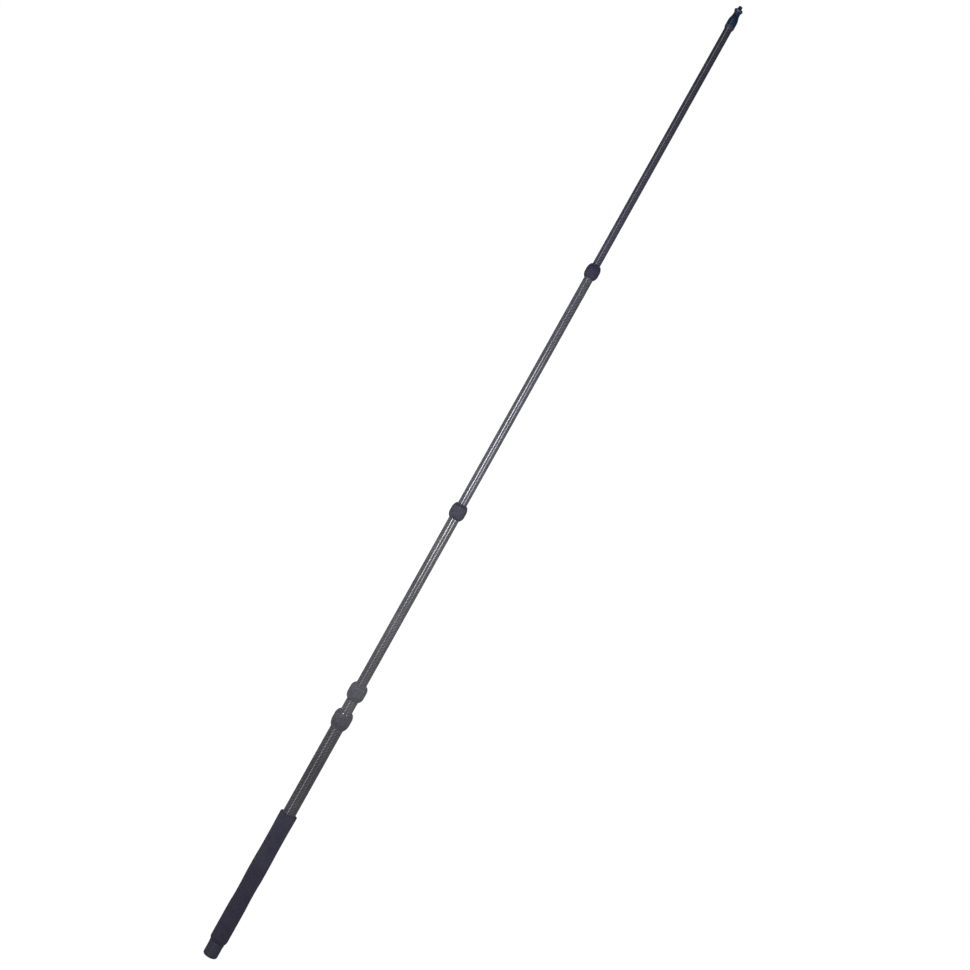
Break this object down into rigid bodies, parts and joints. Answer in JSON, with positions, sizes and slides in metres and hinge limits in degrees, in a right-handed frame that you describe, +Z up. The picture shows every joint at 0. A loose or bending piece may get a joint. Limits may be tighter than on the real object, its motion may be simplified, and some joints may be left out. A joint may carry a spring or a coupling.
{
  "type": "telescopic boom pole",
  "caption": "Telescopic carbon boom pole with a foam grip, twist locks with ribbed rubber, and a flanged tip with a threaded stud.",
  "frame": {"origin": "centre of the end cap's outer face, on the pole's axis", "axes": "+X along the pole from the hand end to the tip, +Z up with the pole lying level"},
  "size_m": [2.3922, 0.0426, 0.0426],
  "materials": {
    "carbon": "2x2 twill carbon fibre under a clear gloss lacquer",
    "foam": "fine closed-cell foam, matte",
    "cap_rubber": "smooth hard rubber, matte",
    "ribbed_rubber": "fine lengthwise ribs, matte",
    "nose_plastic": "smooth satin",
    "bush_plastic": "smooth acetal",
    "seal_rubber": "soft black rubber",
    "aluminium": "machined",
    "black_anodised": "turned and black anodised",
    "black_steel": "black oxide steel"
  },
  "bodies": {
    "section_1": {"tube_1": "carbon", "foam_grip": "foam", "end_insert": "aluminium", "ferrule_1": "aluminium"},
    "cap_seal": {"cap_seal": "seal_rubber"},
    "end_cap": {"end_cap": "cap_rubber"},
    "collet_1": {"collet_1": "nose_plastic"},
    "lock_1": {"lock_nut_1": "aluminium", "rubber_sleeve_1": "ribbed_rubber", "nose_ring_1": "nose_plastic", "wiper_1": "seal_rubber"},
    "foot_bush_2": {"foot_bush_2": "bush_plastic"},
    "section_2": {"tube_2": "carbon", "ferrule_2": "aluminium"},
    "collet_2": {"collet_2": "nose_plastic"},
    "lock_2": {"lock_nut_2": "aluminium", "rubber_sleeve_2": "ribbed_rubber", "nose_ring_2": "nose_plastic", "wiper_2": "seal_rubber"},
    "foot_bush_3": {"foot_bush_3": "bush_plastic"},
    "section_3": {"tube_3": "carbon", "ferrule_3": "aluminium"},
    "collet_3": {"collet_3": "nose_plastic"},
    "lock_3": {"lock_nut_3": "aluminium", "rubber_sleeve_3": "ribbed_rubber", "nose_ring_3": "nose_plastic", "wiper_3": "seal_rubber"},
    "foot_bush_4": {"foot_bush_4": "bush_plastic"},
    "section_4": {"tube_4": "carbon", "ferrule_4": "aluminium"},
    "collet_4": {"collet_4": "nose_plastic"},
    "lock_4": {"lock_nut_4": "aluminium", "rubber_sleeve_4": "ribbed_rubber", "nose_ring_4": "nose_plastic", "wiper_4": "seal_rubber"},
    "foot_bush_5": {"foot_bush_5": "bush_plastic"},
    "section_5": {"tube_5": "carbon", "tip_ring": "ribbed_rubber", "tip_plug": "aluminium", "tip_adaptor": "black_anodised", "tip_stud": "black_steel"}
  },
  "joints": [
    {"name": "end_cap_turn", "type": "hinge", "parent": "cap_seal", "child": "end_cap", "pos_m": [0, 0, 0], "axis": [1, 0, 0], "range_deg": [-1800, 0]},
    {"name": "end_cap_travel", "type": "slide", "parent": "section_1", "child": "cap_seal", "axis": [1, 0, 0], "range_m": [-0.0075, 0]},
    {"name": "lock_1_turn", "type": "hinge", "parent": "collet_1", "child": "lock_1", "pos_m": [0.5742, 0, 0], "axis": [1, 0, 0], "range_deg": [0, 180]},
    {"name": "lock_1_travel", "type": "slide", "parent": "section_1", "child": "collet_1", "axis": [1, 0, 0], "range_m": [0, 0.001]},
    {"name": "lock_2_turn", "type": "hinge", "parent": "collet_2", "child": "lock_2", "pos_m": [0.6448, 0, 0], "axis": [1, 0, 0], "range_deg": [0, 180]},
    {"name": "lock_2_travel", "type": "slide", "parent": "section_2", "child": "collet_2", "axis": [1, 0, 0], "range_m": [0, 0.001]},
    {"name": "lock_3_turn", "type": "hinge", "parent": "collet_3", "child": "lock_3", "pos_m": [1.1012, 0, 0], "axis": [1, 0, 0], "range_deg": [0, 180]},
    {"name": "lock_3_travel", "type": "slide", "parent": "section_3", "child": "collet_3", "axis": [1, 0, 0], "range_m": [0, 0.001]},
    {"name": "lock_4_turn", "type": "hinge", "parent": "collet_4", "child": "lock_4", "pos_m": [1.7068, 0, 0], "axis": [1, 0, 0], "range_deg": [0, 180]},
    {"name": "lock_4_travel", "type": "slide", "parent": "section_4", "child": "collet_4", "axis": [1, 0, 0], "range_m": [0, 0.001]},
    {"name": "section_2_slide", "type": "slide", "parent": "section_1", "child": "foot_bush_2", "axis": [1, 0, 0], "range_m": [-0.027, 0.4772]},
    {"name": "section_2_turn", "type": "hinge", "parent": "foot_bush_2", "child": "section_2", "pos_m": [0.045, 0, 0], "axis": [1, 0, 0], "continuous": true},
    {"name": "section_3_slide", "type": "slide", "parent": "section_2", "child": "foot_bush_3", "axis": [1, 0, 0], "range_m": [-0.4159, 0.1284]},
    {"name": "section_3_turn", "type": "hinge", "parent": "foot_bush_3", "child": "section_3", "pos_m": [0.4629, 0, 0], "axis": [1, 0, 0], "continuous": true},
    {"name": "section_4_slide", "type": "slide", "parent": "section_3", "child": "foot_bush_4", "axis": [1, 0, 0], "range_m": [-0.5678, 0.0136]},
    {"name": "section_4_turn", "type": "hinge", "parent": "foot_bush_4", "child": "section_4", "pos_m": [1.0327, 0, 0], "axis": [1, 0, 0], "continuous": true},
    {"name": "section_5_slide", "type": "slide", "parent": "section_4", "child": "foot_bush_5", "axis": [1, 0, 0], "range_m": [-0.5931, 0.0227]},
    {"name": "section_5_turn", "type": "hinge", "parent": "foot_bush_5", "child": "section_5", "pos_m": [1.6278, 0, 0], "axis": [1, 0, 0], "continuous": true}
  ],
  "couplings": [
    {"joint": "end_cap_turn", "follows": "end_cap_travel", "rad_per_m": 4188.8},
    {"joint": "lock_1_turn", "follows": "lock_1_travel", "rad_per_m": 3141.6},
    {"joint": "lock_2_turn", "follows": "lock_2_travel", "rad_per_m": 3141.6},
    {"joint": "lock_3_turn", "follows": "lock_3_travel", "rad_per_m": 3141.6},
    {"joint": "lock_4_turn", "follows": "lock_4_travel", "rad_per_m": 3141.6}
  ]
}
